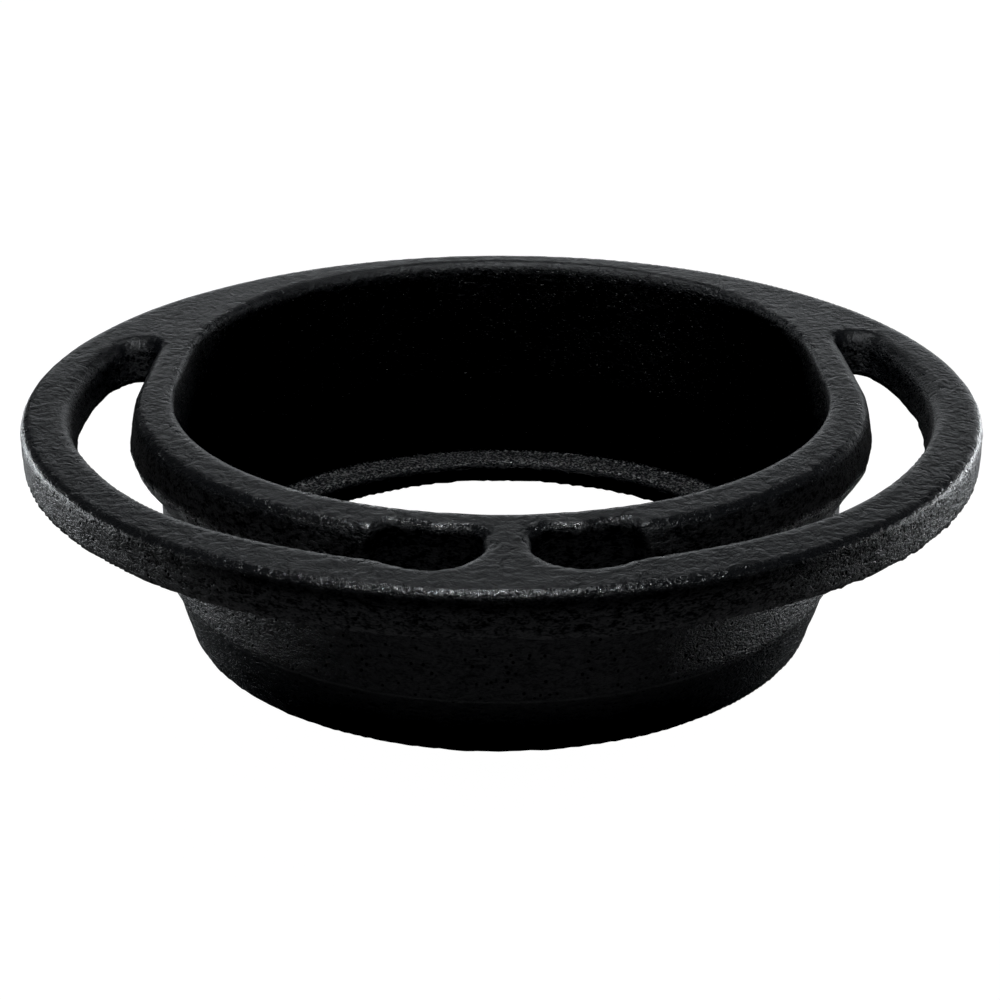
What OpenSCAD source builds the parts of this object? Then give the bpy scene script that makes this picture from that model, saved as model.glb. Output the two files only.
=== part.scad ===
// Offset closet flange: a slotted ring on a short hub that sits behind the ring's centre.
// One sand casting in iron. Millimetres, +Z up, +Y towards the back.
// Origin: the ring's axis, in the plane of the hub's foot.

/* [Ring] */
// Outside diameter of the ring
ring_d = 177.8; // [172:0.1:190]
// Thickness of the ring plate
ring_t = 7.7; // [6:0.1:10]
// Height from the hub's foot to the ring's top face
total_h = 50.8; // [46:0.1:70]
// Radius of the round along the ring's top edge
top_edge_r = 1.8; // [0.5:0.1:3]
// Radius of the round along the ring's lower edge
low_edge_r = 0.9; // [0.3:0.1:2]

/* [Top opening] */
// Radius of both ends of the opening
opening_r = 61.8; // [58:0.1:63]
// Distance of the opening's front arc centre behind the ring's axis
opening_front = 2.8; // [0:0.1:6]
// Distance of the opening's back arc centre behind the ring's axis
opening_back = 19.1; // [10:0.1:20]
// Radius of the round along the opening's top edge
opening_edge_r = 1.6; // [0.5:0.1:2.5]

/* [Bolt slots] */
// Radius of the slots' inner wall at the top face
slot_in_r = 68.2; // [66:0.1:70]
// Radius of the slots' outer wall at the top face
slot_out_r = 80.8; // [79.5:0.1:82]
// Outward draft of the inner wall from the top face to the underside
slot_draft = 2; // [0:0.1:2.5]
// Inward draft of the outer wall from the top face to the underside
slot_out_draft = 1; // [0:0.1:2]
// Radius of the slots' rounded back ends
slot_end_r = 4; // [3:0.1:4.5]

/* [Keyholes] */
// Radius of the wide place where a bolt's head drops in
key_r = 8.3; // [7.5:0.1:8.5]
// Width of the web between the two slots at the front
web_w = 7.2; // [6:0.1:12]
// Length of the notch in the hub's wall beside each wide place
notch_l = 16; // [10:0.5:20]
// Corner radius of the notch next to the web
notch_r = 3; // [1.5:0.1:4]

/* [Hub] */
// Outside radius of the hub under its shoulder
hub_r = 64.7; // [64.7:0.1:66]
// Height of the sloped shoulder between the ring's underside and the hub
shoulder_h = 8.2; // [3:0.1:9]
// Depth below the top face at which the front starts to slant back
slant_depth = 31.4; // [22:0.1:36]
// Outside radius of the foot
foot_r = 63.6; // [62:0.1:64]
// Distance of the foot's front arc centre behind the ring's axis
foot_front = 15.2; // [10:0.1:19]
// Distance of the foot's back arc centre behind the ring's axis
foot_back = 21; // [20:0.1:23]

/* [Inside] */
// Inward draft of the inner wall from the top face to the slant
inner_draft = 1; // [0:0.1:2]
// Depth below the top face at which the inner wall starts to slant back
inner_slant_depth = 28; // [18:0.1:34]
// Inside radius just above the lip
socket_r = 60; // [58:0.1:61]
// Thickness of the lip that holds the packing in
lip_t = 5.1; // [3:0.1:8]
// Radius of the pipe hole through the lip
pipe_hole_r = 56.5; // [55:0.1:57]
// Distance of the pipe hole's axis behind the ring's axis
pipe_y = 16.5; // [15:0.1:18]

/* [Hidden] */
$fn = 96;
eps = 0.2;            // overlap that keeps cuts and joins clean
thin = 0.02;          // thickness of the discs that a slanted body is drawn between
hull_fn = 64;         // steps round the slanted bodies
seam_step = 0.25;     // small step where a slanted wall meets an upright one
iron_black = "#26282a";

ring_r = ring_d / 2;
ring_z = total_h - ring_t;              // the ring's underside
shoulder_z = ring_z - shoulder_h;       // where the shoulder meets the hub
slant_z = total_h - slant_depth;
inner_slant_z = total_h - inner_slant_depth;
core_r = slot_in_r + slot_draft;        // hub wall's radius at the ring's underside
shoulder_back = ring_r - 2 * low_edge_r - core_r;   // keeps the shoulder inside the ring's edge
opening_slant_r = opening_r - inner_draft;
key_pitch_r = hub_r + key_r;            // the wide place touches the hub's wall
key_x = web_w / 2 + key_r;
key_y = -sqrt(key_pitch_r * key_pitch_r - key_x * key_x);
end_x = slot_in_r + slot_end_r - eps;   // a slot's back end touches both of its walls
end_y = sqrt(pow(slot_out_r - slot_end_r, 2) - end_x * end_x);
core_back = end_y + slot_end_r;         // the slots' straight inner walls run back to here

// Two equal discs or cones, one behind the other, joined by flat sides
module obround(low_r, high_r, h, y_front, y_back) {
    for (y = [y_front, y_back])
        translate([0, y, 0]) cylinder(r1 = low_r, r2 = high_r, h = h);
    translate([0, y_back, 0]) rotate([90, 0, 0]) linear_extrude(y_back - y_front)
        polygon([[-low_r, 0], [low_r, 0], [high_r, h], [-high_r, h]]);
}

// A slanted body between two obrounds: its front leans back and its back stays upright
module slanted(low_r, low_front, low_back, high_r, high_front, high_back, z_low, z_high) {
    hull() {
        for (y = [low_front, low_back])
            translate([0, y, z_low]) cylinder(r = low_r, h = thin, $fn = hull_fn);
        for (y = [high_front, high_back])
            translate([0, y, z_high - thin]) cylinder(r = high_r, h = thin, $fn = hull_fn);
    }
}

// Half section of the ring plate as a disc, with its two edges rounded
module ring_section() {
    square([ring_r - top_edge_r, ring_t]);
    translate([0, low_edge_r]) square([ring_r, ring_t - low_edge_r - top_edge_r]);
    translate([ring_r - top_edge_r, ring_t - top_edge_r]) circle(top_edge_r);
    translate([ring_r - low_edge_r, low_edge_r]) circle(low_edge_r);
}

// The ring before the opening and the slots are cut
module ring_plate() {
    translate([0, 0, ring_z]) rotate_extrude() ring_section();
}

// Outside of the hub: the sloped shoulder, the upright wall and the slanted foot
module hub_outside() {
    translate([0, 0, shoulder_z])
        obround(hub_r, core_r - seam_step, shoulder_h + eps, 0, shoulder_back);
    translate([0, 0, slant_z - eps])
        obround(hub_r, hub_r, ring_z - slant_z + 2 * eps, 0, opening_back);
    slanted(foot_r, foot_front, foot_back, foot_r, foot_r - hub_r + seam_step, foot_back, 0, slant_z);
}

// The way through: the drafted opening, the slanted socket and the pipe hole in the lip
module passage() {
    translate([0, 0, inner_slant_z])
        obround(opening_slant_r, opening_r, inner_slant_depth + eps, opening_front, opening_back);
    slanted(socket_r, foot_front, foot_back, opening_slant_r - seam_step, opening_front, opening_back,
            lip_t, inner_slant_z + eps);
    translate([0, pipe_y, -eps]) cylinder(r = pipe_hole_r, h = lip_t + 2 * eps);
}

// Half section of what the round along the opening's edge takes off, measured from the wall
module edge_section() {
    difference() {
        translate([-eps, -opening_edge_r]) square([opening_edge_r + eps, opening_edge_r + eps]);
        translate([opening_edge_r, -opening_edge_r]) circle(opening_edge_r);
    }
}

// What the round along the opening's top edge takes off
module opening_edge_round() {
    translate([0, 0, total_h]) {
        translate([0, opening_back, 0])
            rotate_extrude(angle = 180) translate([opening_r, 0]) edge_section();
        translate([0, opening_front, 0]) rotate([0, 0, 180])
            rotate_extrude(angle = 180) translate([opening_r, 0]) edge_section();
        for (side = [0, 1]) mirror([side, 0, 0])
            translate([opening_r, opening_back, 0]) rotate([90, 0, 0])
                linear_extrude(opening_back - opening_front) edge_section();
    }
}

// Radius of a drafted slot wall at a height above the ring's underside
function wall_r(under_r, top_r, height) = under_r + (top_r - under_r) * height / ring_t;

// The part of a slot that a bolt slides along, from the wide place to the back end
module slide_cut() {
    h = ring_t + 2 * eps;
    out_low_r = wall_r(slot_out_r - slot_out_draft, slot_out_r, -eps);
    out_high_r = wall_r(slot_out_r - slot_out_draft, slot_out_r, ring_t + eps);
    end_inset = slot_out_r - slot_end_r;
    translate([0, 0, ring_z - eps]) {
        intersection() {
            cylinder(r1 = out_low_r, r2 = out_high_r, h = h);
            translate([key_x, -ring_r, 0]) cube([ring_r, ring_r + end_y, h]);
        }
        translate([end_x, end_y, 0])
            cylinder(r1 = out_low_r - end_inset, r2 = out_high_r - end_inset, h = h);
    }
}

// The hub's wall beside a slot, kept when the slot is cut
module slot_core() {
    translate([0, 0, ring_z - 2 * eps])
        obround(wall_r(core_r, slot_in_r, -2 * eps), wall_r(core_r, slot_in_r, ring_t + 2 * eps),
                ring_t + 4 * eps, 0, core_back);
}

// Plan of the wide place of a slot
module wide_plan() {
    translate([key_x, key_y]) circle(key_r);
}

// Plan of the notch that lets a bolt's head down along the hub's wall
module notch_plan() {
    corner_x = web_w / 2 + notch_r;
    corner_y = -sqrt(pow(hub_r + notch_r, 2) - corner_x * corner_x);
    difference() {
        intersection() {
            circle(key_pitch_r);
            translate([corner_x, -ring_r]) square([notch_l - notch_r, ring_r]);
        }
        circle(hub_r);
    }
    translate([corner_x, corner_y]) circle(notch_r);
    translate([web_w / 2, key_y]) square([key_r, corner_y - key_y]);
}

// One whole slot; its wide place and notch also run down beside the hub's wall
module slot() {
    difference() {
        slide_cut();
        slot_core();
    }
    translate([0, 0, shoulder_z]) linear_extrude(ring_t + shoulder_h + eps) {
        wide_plan();
        notch_plan();
    }
}

module flange_casting() {
    color(iron_black) difference() {
        union() {
            ring_plate();
            hub_outside();
        }
        passage();
        opening_edge_round();
        slot();
        mirror([1, 0, 0]) slot();
    }
}

flange_casting();
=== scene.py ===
"""Looks of a cast-iron offset closet flange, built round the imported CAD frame.

The casting is drawn as a signed distance field, in millimetres, because a sand casting has
eased corners and fillets everywhere and none of its faces is quite flat. The field is turned
into quads, pushed onto the exact surface, roughened, and then shaded with a node material.
"""

import math

import bpy
import numpy as np
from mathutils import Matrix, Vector, noise


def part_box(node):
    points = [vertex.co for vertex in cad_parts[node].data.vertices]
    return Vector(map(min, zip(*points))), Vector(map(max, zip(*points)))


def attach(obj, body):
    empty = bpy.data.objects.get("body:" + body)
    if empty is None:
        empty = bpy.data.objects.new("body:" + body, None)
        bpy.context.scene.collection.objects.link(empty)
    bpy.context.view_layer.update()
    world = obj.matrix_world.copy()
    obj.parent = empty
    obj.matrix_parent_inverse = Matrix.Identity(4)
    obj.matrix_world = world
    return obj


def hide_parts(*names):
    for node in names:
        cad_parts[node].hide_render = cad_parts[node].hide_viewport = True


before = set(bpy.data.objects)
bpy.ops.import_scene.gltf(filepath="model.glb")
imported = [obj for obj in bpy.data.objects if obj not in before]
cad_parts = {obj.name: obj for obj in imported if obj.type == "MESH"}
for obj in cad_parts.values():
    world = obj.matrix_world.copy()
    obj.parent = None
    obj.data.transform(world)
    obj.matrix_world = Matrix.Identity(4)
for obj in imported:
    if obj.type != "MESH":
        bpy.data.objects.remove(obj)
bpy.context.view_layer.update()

MM = 0.001
BODY_NODE = "flange_casting"
box_low, box_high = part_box(BODY_NODE)

# ---------------------------------------------------------------- sizes, mm
RING_R = (box_high.x - box_low.x) / 2 / MM
TOP_Z = box_high.z / MM
RING_T = 7.7
RING_Z = TOP_Z - RING_T  # the ring's underside
RIM_TOP_R = 1.8  # rounds along the ring's edges
RIM_LOW_R = 0.5
FLASH_H = 0.4  # ragged flash along the ring's lower right edge
FLASH_SIDE = (30, 70)  # it fades in across the ring and towards the front
FLASH_FRONT = (5, -15)
FLASH_WAVES = ((0.2, 97, 1), (0.25, 139, 0), (0.25, 173, 0))  # size, count per turn, shift

OPENING_R = 61.8
OPENING_FRONT = 2.6  # centres of the opening's two arcs, behind the ring's axis
OPENING_BACK = 19.1
OPENING_EDGE_R = 1.6
INNER_SLANT_Z = TOP_Z - 28
INNER_SLANT_R = 60.8
SOCKET_R = 60.0

SLOT_OUT_R = 80.2  # outer wall of the slots at the top face
SLOT_FRONT_OUT_R = 79.0  # the same at the very front, beside the wide places
SLOT_FRONT_EASE = (60, 30)  # where it changes from one to the other, from the middle
SLOT_OUT_DRAFT = 1.2
SLOT_END_DRAFT = 3.5
SLOT_END_SKEW = 1.2  # the left slot ends this much sooner, the right one later
SLOT_STOP_R = 3.5  # round where a slot's outer wall turns into its back end
SLOT_JOIN_R = 2.5  # fillet where the slot's parts meet
WALL_TOP_R = 68.2  # hub wall at the top face
WALL_LOW_R = 70.2  # and at the ring's underside
SLOT_END_R = 4.0
WEB_HALF = 3.7
KEY_R = 8.3  # wide place where a bolt's head drops in
KEY_OUT_R = 80.9  # its farthest reach from the ring's axis
NOTCH_DEPTH = 5.0
NOTCH_END = (18.6, 23.6)  # the notch runs out between these distances from the middle
WEB_FILLET_R = 5.0

HUB_R = 64.7
SHOULDER_Z = RING_Z - 8.2
CREASE_Z = TOP_Z - 31.4
FOOT_R = 63.6
FOOT_FRONT = 14.6
FOOT_BACK = 21.0
LIP_T = 5.1
PIPE_R = 56.0
PIPE_Y = 16.5

SLOT_TOP_R = (0.7, 2.0)  # round of the slots' outer top edge at the front, and its growth
SLOT_TOP_EASE = (-40, -5)
HUB_TOP_R = 1.0  # round of the hub's outer top edge
HUB_EDGE_R = 1.0  # rounds and fillets that the CAD doesn't have
HUB_FILLET_R = 0.7
WEB_UNDER_R = 4.0
SLOT_EDGE_R = 0.8
SOCKET_FILLET_R = 1.5
LIP_EDGE_R = 1.2
FOOT_EDGE_R = 0.4
FAR = 50.0  # added to a distance to switch its shape off

CELL = 0.95  # grid spacing of the distance field
MARGIN = 3.0


# ---------------------------------------------------------------- distance field
def join(a, b, r):
    """Union of two fields with a fillet of radius r where they meet."""
    return np.maximum(r, np.minimum(a, b)) - np.hypot(
        np.maximum(r - a, 0), np.maximum(r - b, 0)
    )


def meet(a, b, r):
    """Intersection of two fields with a round of radius r along the edge."""
    return -join(-a, -b, r)


def eased(rows, ease):
    """A wall's radius, front and back against height, with its corners eased over a length."""
    step = 0.05
    rows = sorted(rows)
    heights = [row[0] for row in rows]
    z = np.arange(heights[0] - 2 * ease, heights[-1] + 2 * ease, step)
    count = 2 * int(ease / step / 2) + 1
    kernel = np.hanning(count + 2)[1:-1]
    kernel /= kernel.sum()
    table = []
    for column in zip(*rows):
        values = np.interp(z, heights, column)
        padded = np.pad(values, count // 2, mode="edge")
        table.append(np.convolve(padded, kernel, mode="valid"))
    columns = table[1:]
    slopes = [np.gradient(c, z) for c in columns]
    return z, columns, slopes


def wall(x, y, z, shape):
    """Distance to a wall whose plan is a front arc and a back arc joined by flat sides."""
    heights, columns, slopes = shape
    radius, front, back = (np.interp(z, heights, c) for c in columns)
    radius_slope, front_slope, back_slope = (np.interp(z, heights, s) for s in slopes)
    near = np.clip(y, front, back)
    reach = np.hypot(x, y - near) + 1e-9
    arc_slope = np.where(y < front, front_slope, np.where(y > back, back_slope, 0.0))
    lean = radius_slope + (y - near) / reach * arc_slope
    return (reach - radius) / np.sqrt(1 + lean * lean)


END_X = WALL_TOP_R + SLOT_END_R - 0.2
END_Y = math.sqrt((SLOT_OUT_R - SLOT_END_R) ** 2 - END_X**2)
KEY_X = WEB_HALF + KEY_R
KEY_Y = math.sqrt((KEY_OUT_R - KEY_R) ** 2 - KEY_X**2)

HUB_WALL = eased(
    [
        (TOP_Z + 1, WALL_TOP_R, 0, END_Y + 3),
        (TOP_Z, WALL_TOP_R, 0, END_Y + 3),
        (RING_Z + 0.5, WALL_LOW_R, 0, END_Y + 3),
        (RING_Z - 0.5, WALL_LOW_R - 1.0, 0, END_Y),
        (RING_Z - 4.0, WALL_LOW_R - 3.4, 0, OPENING_BACK),
        (SHOULDER_Z, HUB_R, 0, OPENING_BACK),
        (CREASE_Z, HUB_R, 0, OPENING_BACK),
        (CREASE_Z - 1.2, FOOT_R, -0.2, FOOT_BACK),
        (0, FOOT_R - 0.5, FOOT_FRONT - 0.6, FOOT_BACK),
        (-1, FOOT_R - 0.5, FOOT_FRONT - 0.6, FOOT_BACK),
    ],
    2.4,
)
INSIDE_WALL = eased(
    [
        (TOP_Z + 1, OPENING_R, OPENING_FRONT, OPENING_BACK),
        (TOP_Z, OPENING_R, OPENING_FRONT, OPENING_BACK),
        (INNER_SLANT_Z, INNER_SLANT_R, OPENING_FRONT, OPENING_BACK),
        (LIP_T, SOCKET_R, FOOT_FRONT, FOOT_BACK),
        (0, SOCKET_R, FOOT_FRONT, FOOT_BACK),
    ],
    3.0,
)


def smoothstep(low, high, value):
    """Eased share from 0 at low to 1 at high; low may be the greater one."""
    t = np.clip((value - low) / (high - low), 0, 1)
    return t * t * (3 - 2 * t)


def slot_plan(x, y, z):
    """Both bolt slots, seen from above: negative where the ring is cut away."""
    across = np.abs(x)
    reach = np.hypot(x, y)
    depth = (TOP_Z - z) / RING_T
    draft = SLOT_OUT_DRAFT * depth
    front = (SLOT_OUT_R - SLOT_FRONT_OUT_R) * smoothstep(*SLOT_FRONT_EASE, across) * (y < 0)
    stop = y - END_Y + SLOT_END_DRAFT * depth - SLOT_END_SKEW * np.sign(x)
    run = meet(reach - (SLOT_OUT_R - front - draft), stop, SLOT_STOP_R)
    run = np.maximum(run, KEY_X - across)
    end = np.hypot(across - END_X, stop) - SLOT_END_R + draft
    run = join(run, end, SLOT_JOIN_R)
    wide = np.hypot(across - KEY_X, y + KEY_Y) - KEY_R
    corner = meet(WEB_HALF - across, reach - KEY_OUT_R + KEY_R, WEB_FILLET_R)
    corner = np.maximum(np.maximum(corner, across - KEY_X), y)
    return join(run, np.minimum(wide, corner), SLOT_JOIN_R)


def notch_plan(x, y):
    """The two shallow notches in the hub's wall at the front of the slots."""
    hollow_r = HUB_R + NOTCH_DEPTH * smoothstep(*NOTCH_END, np.abs(x))
    return np.maximum(hollow_r - np.hypot(x, y), y)


def top_edge_radius(x, y, hub, void):
    """How round the top edge is at each place: soft outside the slots, tight on the hub."""
    reach = np.hypot(x, y)
    slot_outer = SLOT_TOP_R[0] + SLOT_TOP_R[1] * smoothstep(*SLOT_TOP_EASE, y)
    hoop_middle = (SLOT_OUT_R + RING_R) / 2
    slot_middle = (WALL_TOP_R + SLOT_OUT_R) / 2
    inner = np.where(hub > void, HUB_TOP_R, OPENING_EDGE_R)
    outer = np.where(reach > hoop_middle, RIM_TOP_R, slot_outer)
    return inner + (outer - inner) * smoothstep(slot_middle - 3, slot_middle + 3, reach)


def flash_depth(x, y, reach):
    """How far the ragged flash hangs below the ring's lower right edge."""
    turn = np.arctan2(y, x)
    ragged = 1.0
    for size, count, shift in FLASH_WAVES:
        ragged = ragged + size * np.sin(count * turn + shift)
    edge = smoothstep(RING_R - 6, RING_R - 1, reach)
    return FLASH_H * edge * smoothstep(*FLASH_SIDE, x) * ragged * smoothstep(*FLASH_FRONT, y)


def casting(x, y, z):
    """Signed distance to the smooth casting, negative inside the iron."""
    reach = np.hypot(x, y)
    hub = wall(x, y, z, HUB_WALL)
    hub = meet(hub, reach - (RING_R - 2 * RIM_LOW_R), HUB_EDGE_R)
    hub = meet(hub, -notch_plan(x, y) - FAR * (z < SHOULDER_Z), HUB_EDGE_R)
    plate = meet(reach - RING_R, RING_Z - flash_depth(x, y, reach) - z, RIM_LOW_R)
    plate = meet(plate, -slot_plan(x, y, z), SLOT_EDGE_R)
    near_web = (np.abs(x) < 2 * KEY_R) & (y < 0)
    iron = join(plate, hub, HUB_FILLET_R + (WEB_UNDER_R - HUB_FILLET_R) * near_web)
    socket = meet(wall(x, y, z, INSIDE_WALL), LIP_T - z, SOCKET_FILLET_R)
    hole = np.hypot(x, y - PIPE_Y) - PIPE_R
    void = join(socket, hole, LIP_EDGE_R)
    iron = meet(iron, -void, 0.5)
    iron = meet(iron, -z, FOOT_EDGE_R)
    return meet(iron, z - TOP_Z, top_edge_radius(x, y, -hub, void))


# ---------------------------------------------------------------- field to quads
CORNERS = np.array(list(np.ndindex(2, 2, 2)))
EDGES = [
    (a, b)
    for a in range(8)
    for b in range(a + 1, 8)
    if np.abs(CORNERS[a] - CORNERS[b]).sum() == 1
]


def surface_nets(field):
    """Vertices in grid units and quads: one vertex in each cell that the surface crosses."""
    inside = field < 0
    size = np.array(field.shape) - 1
    count = sum(
        inside[tuple(slice(c, c + n) for c, n in zip(corner, size))].astype(np.int8)
        for corner in CORNERS
    )
    active = (count > 0) & (count < 8)
    cells = np.argwhere(active)
    index = np.full(active.shape, -1)
    index[active] = np.arange(len(cells))
    values = np.stack([field[tuple((cells + c).T)] for c in CORNERS], 1)
    total, number = np.zeros((len(cells), 3)), np.zeros(len(cells))
    for a, b in EDGES:
        first, second = values[:, a], values[:, b]
        crossed = (first < 0) != (second < 0)
        share = np.where(crossed, first / np.where(crossed, first - second, 1), 0)
        place = CORNERS[a] + share[:, None] * (CORNERS[b] - CORNERS[a])
        total += crossed[:, None] * place
        number += crossed
    quads = []
    for axis in range(3):
        u, v = np.eye(3, dtype=int)[[(axis + 1) % 3, (axis + 2) % 3]]
        start, end = [slice(1, -1)] * 3, [slice(1, -1)] * 3
        start[axis], end[axis] = slice(0, -1), slice(1, None)
        before, after = inside[tuple(start)], inside[tuple(end)]
        shift = np.ones(3, dtype=int)
        shift[axis] = 0
        for leaving in (True, False):
            at = np.argwhere((before != after) & (before == leaving)) + shift
            ring = [at, at - u, at - u - v, at - v]
            if not leaving:
                ring.reverse()
            quads.append(np.stack([index[tuple(c.T)] for c in ring], 1))
    return cells + total / number[:, None], np.concatenate(quads)


def gradient(points):
    """Outward direction of the field at each point, and the field itself."""
    h = 0.02
    x, y, z = points.T
    g = np.stack(
        [
            casting(x + h, y, z) - casting(x - h, y, z),
            casting(x, y + h, z) - casting(x, y - h, z),
            casting(x, y, z + h) - casting(x, y, z - h),
        ],
        1,
    ) / (2 * h)
    return g, casting(x, y, z)


def onto_surface(points, rounds=2):
    """Moves the points along the field's gradient until they lie on the surface."""
    for _ in range(rounds):
        g, d = gradient(points)
        length = np.maximum((g * g).sum(1), 0.1)
        move = np.clip(d / length, -CELL, CELL)
        points = points - g * move[:, None]
    return points


def neighbour_mean(points, quads):
    """Mean place of the vertices that share a quad edge with each vertex."""
    a = quads.ravel()
    b = np.roll(quads, -1, axis=1).ravel()
    ends, others = np.concatenate([a, b]), np.concatenate([b, a])
    number = np.bincount(ends, minlength=len(points))
    return np.stack(
        [
            np.bincount(ends, points[others, k], minlength=len(points)) / number
            for k in range(3)
        ],
        1,
    )


def relaxed(points, quads, rounds):
    """Evens out the quads by sliding vertices along the surface."""
    for _ in range(rounds):
        g, _ = gradient(points)
        n = g / np.linalg.norm(g, axis=1, keepdims=True)
        pull = neighbour_mean(points, quads) - points
        pull -= n * (pull * n).sum(1)[:, None]
        points = onto_surface(points + 0.6 * pull, 1)
    return points


def grid_axis(low, high):
    """Grid lines over a range, with a margin at both ends."""
    return np.arange(low - MARGIN, high + MARGIN, CELL)


def casting_mesh():
    """Points, quads and outward directions of the smooth casting."""
    xs = grid_axis(-RING_R, RING_R)
    ys = grid_axis(-RING_R, RING_R)
    zs = grid_axis(0, TOP_Z)
    field = casting(xs[:, None, None], ys[None, :, None], zs[None, None, :])
    cells, quads = surface_nets(field)
    points = cells * CELL + np.array([xs[0], ys[0], zs[0]])
    points = onto_surface(points)
    points = relaxed(points, quads, 6)
    points = onto_surface(points)
    g, _ = gradient(points)
    return points, quads, g / np.linalg.norm(g, axis=1, keepdims=True)


# ---------------------------------------------------------------- cast skin
# Where each kind of surface begins and is fully itself, mm or share of the direction
TOP_TILT = (0.35, 0.85)  # upward part of the direction
TOP_LEVEL = (TOP_Z - 3.0, TOP_Z - 1.0)
RIM_REACH = (RING_R - 2.5, RING_R - 1.0)
PASSAGE_GAP = 1.5  # the passage's skin lies within this distance of its smooth wall
PASSAGE_START = LIP_T + 2
CREST_LEVEL = (TOP_Z - 1.3, TOP_Z - 0.6)
CREST_TILT_TOP = (0.995, 0.96)
CREST_TILT_LOW = (0.55, 0.8)
SLOT_MIDDLE_R = 75
SLOT_WALL_REACH = (71, 74)  # the slots' outer edges, which have no crest, start here
SLOT_WALL_END = (RING_R - 3, RING_R - 5)
RING_CREST_START = 55  # distance in front of the middle where the glints start
HUB_CREST_START = 30
CREST_EASE = 25
FACING = (0.3, 0.7)
# height where the painted shade under the crest fades in
SHADE_STRIP_LEVEL = (TOP_Z - 3.8, TOP_Z - 2.2)
BAND_LEVEL = (RING_Z, RING_Z - 5)
FLANK_START = (12, 38)
LIP_TILT = (0.5, 0.8)
LIP_LEVEL = (LIP_T + 1.5, LIP_T + 0.5)

# Wavelength, octaves and seed of each noise, mm
SWELL = (22, 2, 1)
LUMPS = (6, 3, 2)
GRAIN = (2.4, 2, 3)
SWELL_H = 0.12  # heights, mm
LUMPS_H = 0.07
COLLAR_H = 0.3  # extra lumps on the hub's wall at the ring's height
GRAIN_H = 0.06
COLLAR_REACH = ((64, 67), (73, 70))
COLLAR_LEVEL = ((RING_Z - 7, RING_Z - 3), (RING_Z + 6, RING_Z + 2))
SHARP_BULGE = 0.12  # bulge of a vertex on a sharp edge, mm


def noise_at(points, wavelength, octaves, seed):
    """Fractal noise of about -1 to 1 at each point; the wavelength is in mm."""
    offset = np.array([seed * 17.3, seed * 5.1, seed * 29.7])
    return np.array(
        [
            noise.fractal(Vector(p), 1.0, 2.0, octaves)
            for p in points / wavelength + offset
        ]
    )


def crest_share(points, directions):
    """Share of each vertex on the top edges that glint, at the ring's and the hub's front."""
    reach, up = np.hypot(points[:, 0], points[:, 1]), directions[:, 2]
    crest = smoothstep(*CREST_LEVEL, points[:, 2]) * smoothstep(*CREST_TILT_TOP, up)
    crest *= smoothstep(*CREST_TILT_LOW, up)
    crest *= 1 - smoothstep(*SLOT_WALL_REACH, reach) * smoothstep(*SLOT_WALL_END, reach)
    start = np.where(reach > SLOT_MIDDLE_R, RING_CREST_START, HUB_CREST_START)
    return crest * smoothstep(start, start + CREST_EASE, np.abs(points[:, 1]))


def regions(points, directions):
    """Share of each vertex that belongs to each kind of surface.

    The flat top face, the ring's side, the passage's wall, the glinting crest of the top edges,
    the strip under the crest that gets painted shade, the band of hub below the ring, the flanks
    that are the band's left and right parts, and the top of the inner lip.
    """
    x, y, z = points.T
    sideways, along, up = np.abs(directions[:, 0]), np.abs(directions[:, 1]), directions[:, 2]
    top = smoothstep(*TOP_TILT, up) * smoothstep(*TOP_LEVEL, z)
    rim = smoothstep(*RIM_REACH, np.hypot(x, y)) * (1 - top)
    passage = (wall(x, y, z, INSIDE_WALL) < PASSAGE_GAP) * (1 - top) * (z > PASSAGE_START)
    facing = smoothstep(*FACING, along / (sideways + along + 1e-6))
    band = smoothstep(*BAND_LEVEL, z) * (1 - passage)
    return {
        "top_face": top,
        "rim_side": rim,
        "passage": passage,
        "crest": crest_share(points, directions) * facing,
        # strip under the crest that gets painted shade
        "shade_strip": rim * smoothstep(*SHADE_STRIP_LEVEL, z) * facing,
        "band": band,
        "flank": band * smoothstep(*FLANK_START, np.abs(x)),
        "lip": smoothstep(*LIP_TILT, up) * smoothstep(*LIP_LEVEL, z),
    }


def convexity(points, quads, directions):
    """How sharply the surface bulges at each vertex, 0 on flats and hollows, about 1 on edges."""
    bulge = -((neighbour_mean(points, quads) - points) * directions).sum(1)
    for _ in range(2):
        bulge = neighbour_mean(np.stack([bulge] * 3, 1), quads)[:, 0]
    return np.clip(bulge / SHARP_BULGE, 0, 1)


def cast_relief(points, parts):
    """Height of the sand-cast skin over the smooth shape, in mm."""
    swell = noise_at(points, *SWELL)
    lumps = noise_at(points, *LUMPS)
    grain = noise_at(points, *GRAIN)
    rough = 1 - 0.8 * parts["top_face"] - 0.3 * parts["passage"]
    gritty = rough * (1 + 0.5 * parts["rim_side"])
    collar = 1.0
    for ease in COLLAR_REACH:
        collar = collar * smoothstep(*ease, np.hypot(points[:, 0], points[:, 1]))
    for ease in COLLAR_LEVEL:
        collar = collar * smoothstep(*ease, points[:, 2])
    lumpy = (LUMPS_H + COLLAR_H * collar) * lumps * rough
    return SWELL_H * swell * (0.4 + 0.6 * rough) + lumpy + GRAIN_H * grain * gritty


# ---------------------------------------------------------------- object and node helpers
def make_object(name, points, quads):
    """Links a smooth mesh object made of points in mm and quads."""
    mesh = bpy.data.meshes.new(name)
    mesh.vertices.add(len(points))
    mesh.vertices.foreach_set("co", (points * MM).astype(np.float32).ravel())
    mesh.loops.add(quads.size)
    mesh.loops.foreach_set("vertex_index", quads.ravel().astype(np.int32))
    mesh.polygons.add(len(quads))
    mesh.polygons.foreach_set("loop_start", np.arange(0, quads.size, 4, dtype=np.int32))
    mesh.update(calc_edges=True)
    mesh.validate()
    mesh.shade_smooth()
    piece = bpy.data.objects.new(name, mesh)
    bpy.context.scene.collection.objects.link(piece)
    return piece


def set_attribute(piece, name, values):
    attribute = piece.data.attributes.new(name, "FLOAT", "POINT")
    attribute.data.foreach_set("value", values.astype(np.float32))


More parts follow.
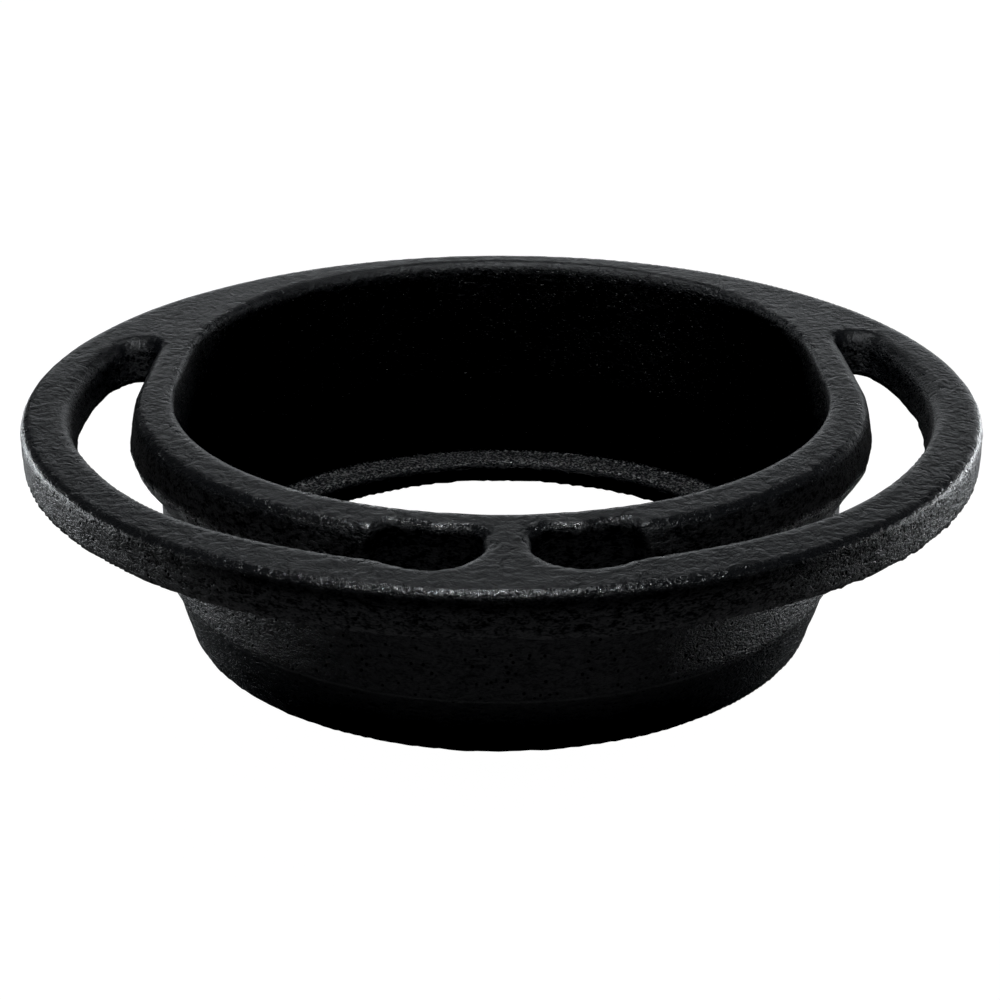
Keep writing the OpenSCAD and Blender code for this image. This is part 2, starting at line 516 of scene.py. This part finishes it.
def node(tree, kind, inputs=None, **settings):
    """Adds a shader node, sets its properties, and fills or links its inputs."""
    made = tree.nodes.new("ShaderNode" + kind)
    for name, value in settings.items():
        setattr(made, name, value)
    for key, value in (inputs or {}).items():
        if isinstance(value, bpy.types.NodeSocket):
            tree.links.new(value, made.inputs[key])
        else:
            made.inputs[key].default_value = value
    return made


def new_material(name):
    material = bpy.data.materials.new(name)
    material.use_nodes = True
    material.node_tree.nodes.clear()
    return material, material.node_tree


def math_node(tree, operation, a, b=0.0, c=0.0):
    made = node(tree, "Math", {0: a, 1: b, 2: c}, operation=operation)
    return made.outputs[0]


def times(tree, a, b):
    return math_node(tree, "MULTIPLY", a, b)


def scaled_plus(tree, a, scale, b):
    """a times scale, plus b."""
    return math_node(tree, "MULTIPLY_ADD", a, scale, b)


def remap(tree, value, low, high, to_low, to_high):
    made = node(
        tree,
        "MapRange",
        {"Value": value, "From Min": low, "From Max": high, "To Min": to_low, "To Max": to_high},
    )
    return made.outputs["Result"]


def noise_texture(tree, place, per_mm, detail, roughness, distortion):
    settings = {"Scale": per_mm, "Detail": detail, "Roughness": roughness}
    settings.update({"Vector": place, "Distortion": distortion})
    return node(tree, "TexNoise", settings).outputs["Fac"]


def blend(tree, share, a, b):
    """a where share is 0 and b where it is 1."""
    made = node(tree, "Mix", {"Factor": share}, data_type="FLOAT")
    tree.links.new(a, made.inputs[2])
    tree.links.new(b, made.inputs[3])
    return made.outputs[0]


def split_by_ray(tree, others, camera):
    """The shader node camera for camera rays, and others for every other ray."""
    seen = node(tree, "LightPath").outputs["Is Camera Ray"]
    shaders = {0: seen, 1: others.outputs[0], 2: camera.outputs[0]}
    return node(tree, "MixShader", shaders).outputs[0]


# ---------------------------------------------------------------- coated cast iron
# Noises over the casting: scale per mm, detail, roughness and distortion
GRIT = (0.55, 4, 0.6, 0.6)
SAND = (1.7, 3, 0.6, 0.0)
WAVE = (0.35, 3, 0.55, 1.2)
BLOTCH = (0.08, 3, 0.6, 0.0)
UPRIGHT_SQUEEZE = (1, 1, 2)  # grains are wider than they are tall
PITS_PER_MM = 0.7
PIT_CHANCE = 0.5  # a cell has a pit where its random value is above this
PIT_EDGE = (0.12, 0.26, 1.0, 0.0)
PIT_DEPTH = 0.35
BUMP_HEIGHT = 0.6 * MM

# Below, four numbers read: pattern low and high, then the result at each
RIM_BUMP = (0, 1, 1.0, 0.6)
SIDE_ROUGH = (0.3, 0.7, 0.3, 0.5)
TOP_ROUGH = (0.3, 0.7, 0.29, 0.41)
EDGE_POLISH = 0.08
GLINT_POLISH = 0.3
GLINTS = (0.45, 0.56, 0.15, 1.0)

# Painted light and shade on each kind of surface, scaling its tone and specular level; the
# hollows between the grains get painted shade
WALL_PAINTED_LIGHT = (0.48, 0.62, 0.12, 1.25)
# the hub band under the ring is made brighter: a painted reflection of the floor in front
BAND_PAINTED_LIGHT = (0.44, 0.62, 0.75, 2.0)
# the band's left and right parts are darker: painted shade
FLANK_PAINTED_SHADE = (0, 1, 1.0, 0.45)
# painted highlight specks on the top of the inner lip
LIP_PAINTED_SPECKS = (0.5, 0.62, 0.35, 16.0)
# the passage's wall gets painted shade with sparse painted highlight specks
PASSAGE_PAINTED_LIGHT = (0.65, 0.71, 0.6, 18.0)
# painted shade on the strip under the glinting crest
SHADE_STRIP_PAINT = (0, 1, 1.0, 0.3)
TOP_PAINTED_LIGHT = (0.35, 0.65, 0.55, 0.95)
# painted highlight added at the glints
GLINT_PAINTED_LIGHT = 1.6
CREASE_LINE_Z = CREASE_Z - 0.9  # painted highlight line along the crease above the foot
CREASE_PAINTED_HIGHLIGHT = (0.1, 0.5, 1.8, 0.0)
SHINE = 0.55

# Tone ramp of the coating; its input mixes random blotches with the painted light
TONE_STOPS = ((0.2, (0.004, 0.004, 0.004, 1)), (0.9, (0.022, 0.023, 0.026, 1)))
# paler tone along sharp edges: a painted highlight
EDGE_HIGHLIGHT_TONE = (0.045, 0.046, 0.048, 1)
EDGE_HIGHLIGHT = 0.4


def cast_patterns(tree):
    """The noises, the pits and the height above the foot, all in mm over the casting."""
    where = node(tree, "TexCoord").outputs["Object"]
    place = node(tree, "VectorMath", {0: where, "Scale": 1 / MM}, operation="SCALE").outputs[0]
    squeeze = {0: place, 1: UPRIGHT_SQUEEZE}
    flat = node(tree, "VectorMath", squeeze, operation="MULTIPLY").outputs[0]
    cells = node(tree, "TexVoronoi", {"Vector": place, "Scale": PITS_PER_MM, "Randomness": 1.0})
    chosen = math_node(tree, "GREATER_THAN", cells.outputs["Color"], PIT_CHANCE)
    return {
        "grit": noise_texture(tree, flat, *GRIT),
        "sand": noise_texture(tree, flat, *SAND),
        "wave": noise_texture(tree, place, *WAVE),
        "blotch": noise_texture(tree, place, *BLOTCH),
        "pit": times(tree, remap(tree, cells.outputs["Distance"], *PIT_EDGE), chosen),
        "level": node(tree, "SeparateXYZ", {0: place}).outputs["Z"],
    }


def skin_height(tree, pattern, part):
    """Fine relief for the bump: gritty and pitted sides, a gently waved top."""
    side = scaled_plus(tree, pattern["grit"], 1.0, times(tree, pattern["sand"], 0.7))
    side = scaled_plus(tree, pattern["pit"], -PIT_DEPTH, side)
    side = times(tree, side, remap(tree, part["rim_side"], *RIM_BUMP))
    top = scaled_plus(tree, pattern["wave"], 0.4, times(tree, pattern["grit"], 0.3))
    top = scaled_plus(tree, pattern["sand"], 0.1, top)
    return blend(tree, part["top_face"], side, top)


def skin_roughness(tree, pattern, part, glints):
    """Satin all over, a little smoother on sharp edges and much smoother at the glints."""
    side = remap(tree, pattern["grit"], *SIDE_ROUGH)
    rough = blend(tree, part["top_face"], side, remap(tree, pattern["wave"], *TOP_ROUGH))
    rough = scaled_plus(tree, part["edge"], -EDGE_POLISH, rough)
    return scaled_plus(tree, glints, -GLINT_POLISH, rough)


def crease_highlight_line(tree, pattern, part):
    """Painted highlight line along the crease between the upright hub and the slanted foot."""
    away = math_node(tree, "SUBTRACT", pattern["level"], CREASE_LINE_Z)
    away = math_node(tree, "ABSOLUTE", away)
    return times(tree, remap(tree, away, *CREASE_PAINTED_HIGHLIGHT), part["band"])


def painted_light_and_shade(tree, pattern, part, glints):
    """Painted light and shade at each spot, scaling the tone and the specular level: painted
    shade in grain hollows, pits, the band's flanks, the passage and under the front crest;
    painted highlights as a brighter hub band, specks on the lip and in the passage, a line along
    the crease and the glints. Values go above 1.
    """
    sand = pattern["sand"]
    relief = scaled_plus(tree, sand, 0.5, times(tree, pattern["grit"], 0.6))
    # painted shade on the band's left and right parts
    flank = remap(tree, part["flank"], *FLANK_PAINTED_SHADE)
    # painted reflection: the hub band is made brighter
    band = times(tree, remap(tree, relief, *BAND_PAINTED_LIGHT), flank)
    # painted shade in the hollows between the grains of the walls, painted light on the grain
    # tops
    side = blend(tree, part["band"], remap(tree, relief, *WALL_PAINTED_LIGHT), band)
    # painted highlight specks on the lip's top
    side = blend(tree, part["lip"], side, remap(tree, sand, *LIP_PAINTED_SPECKS))
    # painted shade inside the passage, with sparse painted highlight specks
    passage_light = times(tree, side, remap(tree, sand, *PASSAGE_PAINTED_LIGHT))
    side = blend(tree, part["passage"], side, passage_light)
    # painted highlight line along the crease
    side = math_node(tree, "ADD", side, crease_highlight_line(tree, pattern, part))
    # painted shade on the strip under the front crest
    side = times(tree, side, remap(tree, part["shade_strip"], *SHADE_STRIP_PAINT))
    # painted shade in the pits
    side = times(tree, side, math_node(tree, "SUBTRACT", 1.0, pattern["pit"]))
    # the top face gets milder painted shade in its grain hollows
    top = remap(tree, pattern["grit"], *TOP_PAINTED_LIGHT)
    # painted highlight at the glints
    return scaled_plus(tree, glints, GLINT_PAINTED_LIGHT, blend(tree, part["top_face"], side, top))


def skin_tone(tree, pattern, part, painted_light):
    """Near-black coating with random blotches, paler where the painted light is high, and with a
    painted highlight along sharp edges.
    """
    tone = scaled_plus(tree, pattern["blotch"], 0.5, times(tree, painted_light, 0.6))
    ramp = node(tree, "ValToRGB", {"Fac": tone})
    for element, (position, colour) in zip(ramp.color_ramp.elements, TONE_STOPS):
        element.position, element.color = position, colour
    # painted highlight along sharp edges
    edge_lit = node(tree, "Mix", data_type="RGBA")
    tree.links.new(times(tree, part["edge"], EDGE_HIGHLIGHT), edge_lit.inputs[0])
    tree.links.new(ramp.outputs["Color"], edge_lit.inputs[6])
    edge_lit.inputs[7].default_value = EDGE_HIGHLIGHT_TONE
    return edge_lit.outputs[2]


def cast_iron(part_names):
    """Black dip coating over sand-cast iron: satin top, gritty sides, glints on the edges, and
    painted light and shade in its tone and specular level.
    """
    material, tree = new_material("coated_cast_iron")
    part = {
        name: node(tree, "Attribute", attribute_name=name).outputs["Fac"] for name in part_names
    }
    pattern = cast_patterns(tree)
    glints = times(tree, part["crest"], remap(tree, pattern["sand"], *GLINTS))
    # painted light and shade, which sets the coating's tone and specular level
    painted_light = painted_light_and_shade(tree, pattern, part, glints)
    height = skin_height(tree, pattern, part)
    bump = node(tree, "Bump", {"Strength": 1.0, "Distance": BUMP_HEIGHT, "Height": height})
    bsdf = node(
        tree,
        "BsdfPrincipled",
        {
            "Base Color": skin_tone(tree, pattern, part, painted_light),
            "Roughness": skin_roughness(tree, pattern, part, glints),
            "Specular IOR Level": times(tree, painted_light, SHINE),
            "Normal": bump.outputs[0],
        },
    )
    node(tree, "OutputMaterial", {"Surface": bsdf.outputs[0]})
    return material


# ---------------------------------------------------------------- the piece
points, quads, directions = casting_mesh()
parts = regions(points, directions)
relief = cast_relief(points, parts)
parts["edge"] = convexity(points, quads, directions)
flange = make_object("flange_body", points + directions * relief[:, None], quads)
for part_name, share in parts.items():
    set_attribute(flange, part_name, share)

flange.data.materials.append(cast_iron(parts))
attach(flange, "root")
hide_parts(BODY_NODE)


# ---------------------------------------------------------------- floor and room
FLOOR_HALF = 3.0
FLOOR_SHADOW = 0.1  # reflectance of the camera's floor, which carries the faint shadow
TABLE_TONE = (0.97, 0.98, 1, 1)
TABLE_GLOW = (0.065, 0.1, 0.0, 0.14)  # distance from the axis, m, to brightness
TABLE_PAINTED_SHADOW = (-0.05, 0.05, 0.0, 0.09)  # the painted shadow reaches this much farther behind, m
ROOM_TONE = (0.95, 0.97, 1, 1)
ROOM_GLOW = 0.004
WHITE = (1, 1, 1, 1)


def table_glow(tree):
    """Glow of the table that the iron mirrors, with a painted shadow: dark near the foot, dim
    further out.
    """
    where = node(tree, "TexCoord").outputs["Object"]
    reach = node(tree, "VectorMath", {0: where}, operation="LENGTH").outputs["Value"]
    behind = node(tree, "SeparateXYZ", {0: where}).outputs["Y"]
    reach = math_node(tree, "SUBTRACT", reach, remap(tree, behind, *TABLE_PAINTED_SHADOW))
    return remap(tree, reach, *TABLE_GLOW)


def pale_floor_material():
    """White to the camera, with a faint shadow; to the iron a dimly glowing table with a painted
    shadow near the foot; clear from below.
    """
    material, tree = new_material("floor_white")
    glow = node(tree, "Emission", {"Color": WHITE, "Strength": 1.0})
    soft = node(tree, "BsdfDiffuse", {"Color": (FLOOR_SHADOW,) * 3 + (1,)})
    seen = node(tree, "AddShader", {0: glow.outputs[0], 1: soft.outputs[0]})
    table = node(tree, "Emission", {"Color": TABLE_TONE, "Strength": table_glow(tree)})
    floor_top = split_by_ray(tree, table, seen)
    below = node(tree, "NewGeometry").outputs["Backfacing"]
    clear = node(tree, "BsdfTransparent").outputs[0]
    final = node(tree, "MixShader", {0: below, 1: floor_top, 2: clear})
    node(tree, "OutputMaterial", {"Surface": final.outputs[0]})
    return material


def pale_floor():
    """The plain floor under the foot."""
    corners = ((-1, -1), (1, -1), (1, 1), (-1, 1))
    mesh = bpy.data.meshes.new("floor")
    places = [(side * FLOOR_HALF, depth * FLOOR_HALF, 0) for side, depth in corners]
    mesh.from_pydata(places, [], [(0, 1, 2, 3)])
    floor = bpy.data.objects.new("floor", mesh)
    bpy.context.scene.collection.objects.link(floor)
    floor.data.materials.append(pale_floor_material())


def studio_world():
    """White behind the object for the camera, and a dim room for everything else."""
    world = bpy.data.worlds.new("studio")
    world.use_nodes = True
    tree = world.node_tree
    tree.nodes.clear()
    white = node(tree, "Background", {"Color": WHITE, "Strength": 1.0})
    dim = node(tree, "Background", {"Color": ROOM_TONE, "Strength": ROOM_GLOW})
    node(tree, "OutputWorld", {"Surface": split_by_ray(tree, dim, white)})
    return world


pale_floor()
bpy.context.scene.world = studio_world()

# ---------------------------------------------------------------- lights
LIGHT_TONE = (0.93, 0.97, 1.0)
# Place, target and size in metres, then watts. The cards stand low, as the iron mirrors them
LIGHTS = {
    "back_card": ((0.19, 0.95, 0.12), (0, 0, 0.04), (1.3, 0.22), 1.17),
    "left_card": ((-0.52, 0.32, 0.035), (0, 0.02, 0.03), (0.35, 0.06), 1.9),
    "right_card": ((0.52, 0.32, 0.035), (0, 0.02, 0.03), (0.35, 0.06), 2.3),
    "over_back": ((-0.055, 0.52, 0.78), (0, 0, 0.03), (0.06, 0.06), 0.45),
    "over": ((0, 0.1, 1.0), (0, 0, 0.03), (0.05, 0.05), 1.8),
}


def area_light(name, place, target, size, watts):
    """A rectangular light at place that faces target, unseen by the camera."""
    data = bpy.data.lights.new(name, "AREA")
    data.shape = "RECTANGLE"
    data.size, data.size_y = size
    data.energy = watts
    data.color = LIGHT_TONE
    light = bpy.data.objects.new(name, data)
    light.location = place
    light.rotation_mode = "QUATERNION"
    light.rotation_quaternion = (Vector(target) - Vector(place)).to_track_quat("-Z", "Y")
    light.visible_camera = False
    bpy.context.scene.collection.objects.link(light)


for light_name, settings in LIGHTS.items():
    area_light(light_name, *settings)

# ---------------------------------------------------------------- camera and view
YAW = math.radians(0.8)
ELEVATION = math.radians(20.09)
DISTANCE = 4.0 * RING_R * MM
AIM_DROP = 0.267 * RING_R  # the camera aims this far below the top face
LENS = 67.46
SENSOR = 36
SHIFT_X = -0.0012
NEAR, FAR_CLIP = 0.01, 50
BLACK_LEVEL = 0.0012  # crushes the deepest shadows, as the exposure does


def product_camera():
    """The camera, seen from the front and 20 degrees above the top face's centre."""
    data = bpy.data.cameras.new("camera")
    data.lens, data.sensor_width, data.shift_x = LENS, SENSOR, SHIFT_X
    data.clip_start, data.clip_end = NEAR, FAR_CLIP
    back = Vector(
        (
            -math.sin(YAW) * math.cos(ELEVATION),
            -math.cos(YAW) * math.cos(ELEVATION),
            math.sin(ELEVATION),
        )
    )
    aim = Vector((0, 0, (TOP_Z - AIM_DROP) * MM))
    camera = bpy.data.objects.new("camera", data)
    camera.location = Vector((0, 0, TOP_Z * MM)) + back * DISTANCE
    camera.rotation_mode = "QUATERNION"
    camera.rotation_quaternion = (aim - camera.location).to_track_quat("-Z", "Y")
    bpy.context.scene.collection.objects.link(camera)
    return camera


bpy.context.scene.camera = product_camera()
view = bpy.context.scene.view_settings
view.view_transform = "Standard"
view.use_curve_mapping = True
view.curve_mapping.black_level = (BLACK_LEVEL,) * 3
